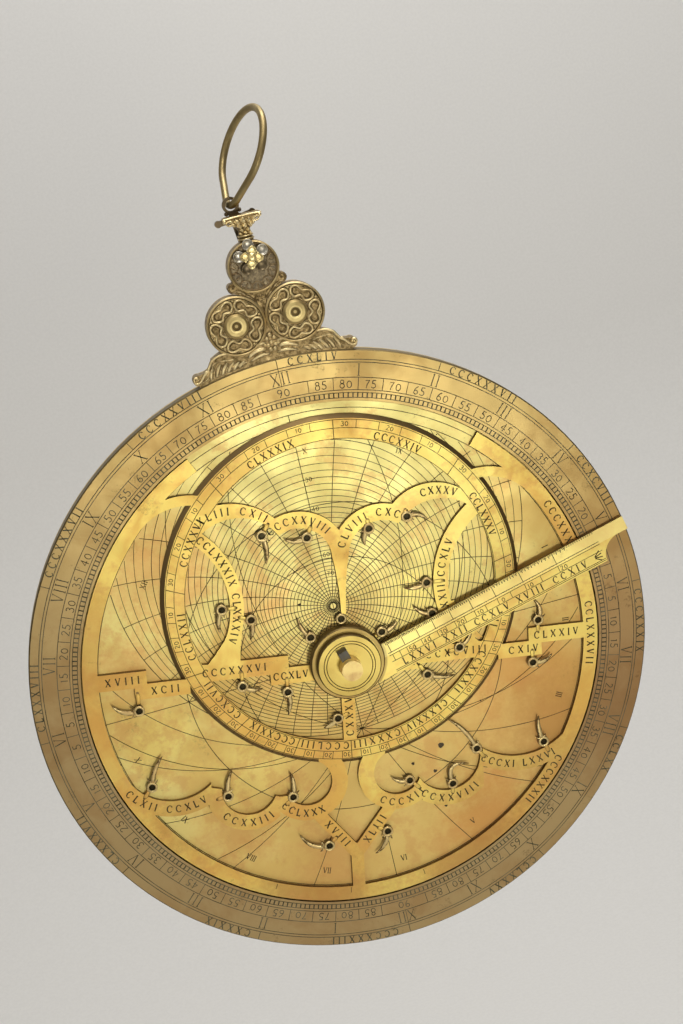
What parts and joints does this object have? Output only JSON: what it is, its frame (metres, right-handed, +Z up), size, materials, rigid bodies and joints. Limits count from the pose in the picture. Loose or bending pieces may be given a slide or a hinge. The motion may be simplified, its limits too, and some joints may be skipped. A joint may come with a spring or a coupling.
{
  "type": "planispheric astrolabe",
  "caption": "Brass astrolabe: graduated limb and back, stacked latitude plates, turning star fretwork, rule, wedge-locked pin, rear sighting bar, cast throne with shackle and ring.",
  "frame": {"origin": "front tip of the central pin, on the axis that every turning plate shares", "axes": "+Z up through the throne when the astrolabe hangs, -Y out of the front face along the pin, +X to the right seen from the front"},
  "size_m": [0.3, 0.0495, 0.4119],
  "materials": {
    "limb_brass": "aged brass, olive brown patina",
    "plate_brass": "aged brass, engraved",
    "rete_brass": "golden brass with orange blotches",
    "pointer_brass": "golden brass, darkened in the recesses",
    "hub_brass": "pale polished brass",
    "throne_bronze": "dark gilt cast metal with worn edges",
    "boss_brass": "polished brass",
    "ring_bronze": "dull olive brass wire",
    "gilt": "fire gilt",
    "silver": "tarnished silver",
    "iron": "dark iron"
  },
  "bodies": {
    "mater": {"back_plate": "limb_brass", "limb": "limb_brass", "plate_upper": "plate_brass", "plate_middle": "plate_brass", "plate_lower": "plate_brass", "throne": "throne_bronze", "throne_dowels": "limb_brass", "tracery_left": "throne_bronze", "tracery_right": "throne_bronze", "boss_left": "boss_brass", "boss_right": "boss_brass", "rosette_silver": "silver", "rosette_gilt": "gilt", "rosette_pin": "gilt", "main_pin": "hub_brass", "washer": "hub_brass"},
    "fretwork": {"rete": "rete_brass", "star_pointers": "pointer_brass"},
    "rule": {"rule": "hub_brass"},
    "wedge": {"wedge": "iron"},
    "sighting_bar": {"alidade": "limb_brass", "vane_pin_left": "hub_brass", "vane_pin_right": "hub_brass"},
    "sight_left": {"vane_left": "limb_brass"},
    "sight_right": {"vane_right": "limb_brass"},
    "shackle": {"shackle": "throne_bronze"},
    "ring": {"suspension_ring": "ring_bronze"}
  },
  "joints": [
    {"name": "fretwork_turn", "type": "hinge", "parent": "mater", "child": "fretwork", "pos_m": [0, 0.0172, 0], "axis": [0, 1, 0], "continuous": true},
    {"name": "rule_turn", "type": "hinge", "parent": "mater", "child": "rule", "pos_m": [0, 0.0138, 0], "axis": [0, 1, 0], "continuous": true},
    {"name": "wedge_draw", "type": "slide", "parent": "mater", "child": "wedge", "axis": [-0.2504, 0, 0.9681], "range_m": [0, 0.01]},
    {"name": "sighting_bar_turn", "type": "hinge", "parent": "mater", "child": "sighting_bar", "pos_m": [0, 0.026, 0], "axis": [0, 1, 0], "continuous": true},
    {"name": "sight_left_fold", "type": "hinge", "parent": "sighting_bar", "child": "sight_left", "pos_m": [-0.112, 0.0295, 0], "axis": [0, 0, -1], "range_deg": [0, 90]},
    {"name": "sight_right_fold", "type": "hinge", "parent": "sighting_bar", "child": "sight_right", "pos_m": [0.112, 0.0295, 0], "axis": [0, 0, 1], "range_deg": [0, 90]},
    {"name": "shackle_swing", "type": "hinge", "parent": "mater", "child": "shackle", "pos_m": [0, 0.02445, 0.1975], "axis": [0, 1, 0], "range_deg": [-37, 52]},
    {"name": "ring_swing", "type": "hinge", "parent": "shackle", "child": "ring", "pos_m": [-0.00297, 0.02445, 0.22101], "axis": [-0.3061, 0.9519, 0.0127], "range_deg": [-104, 36]}
  ]
}
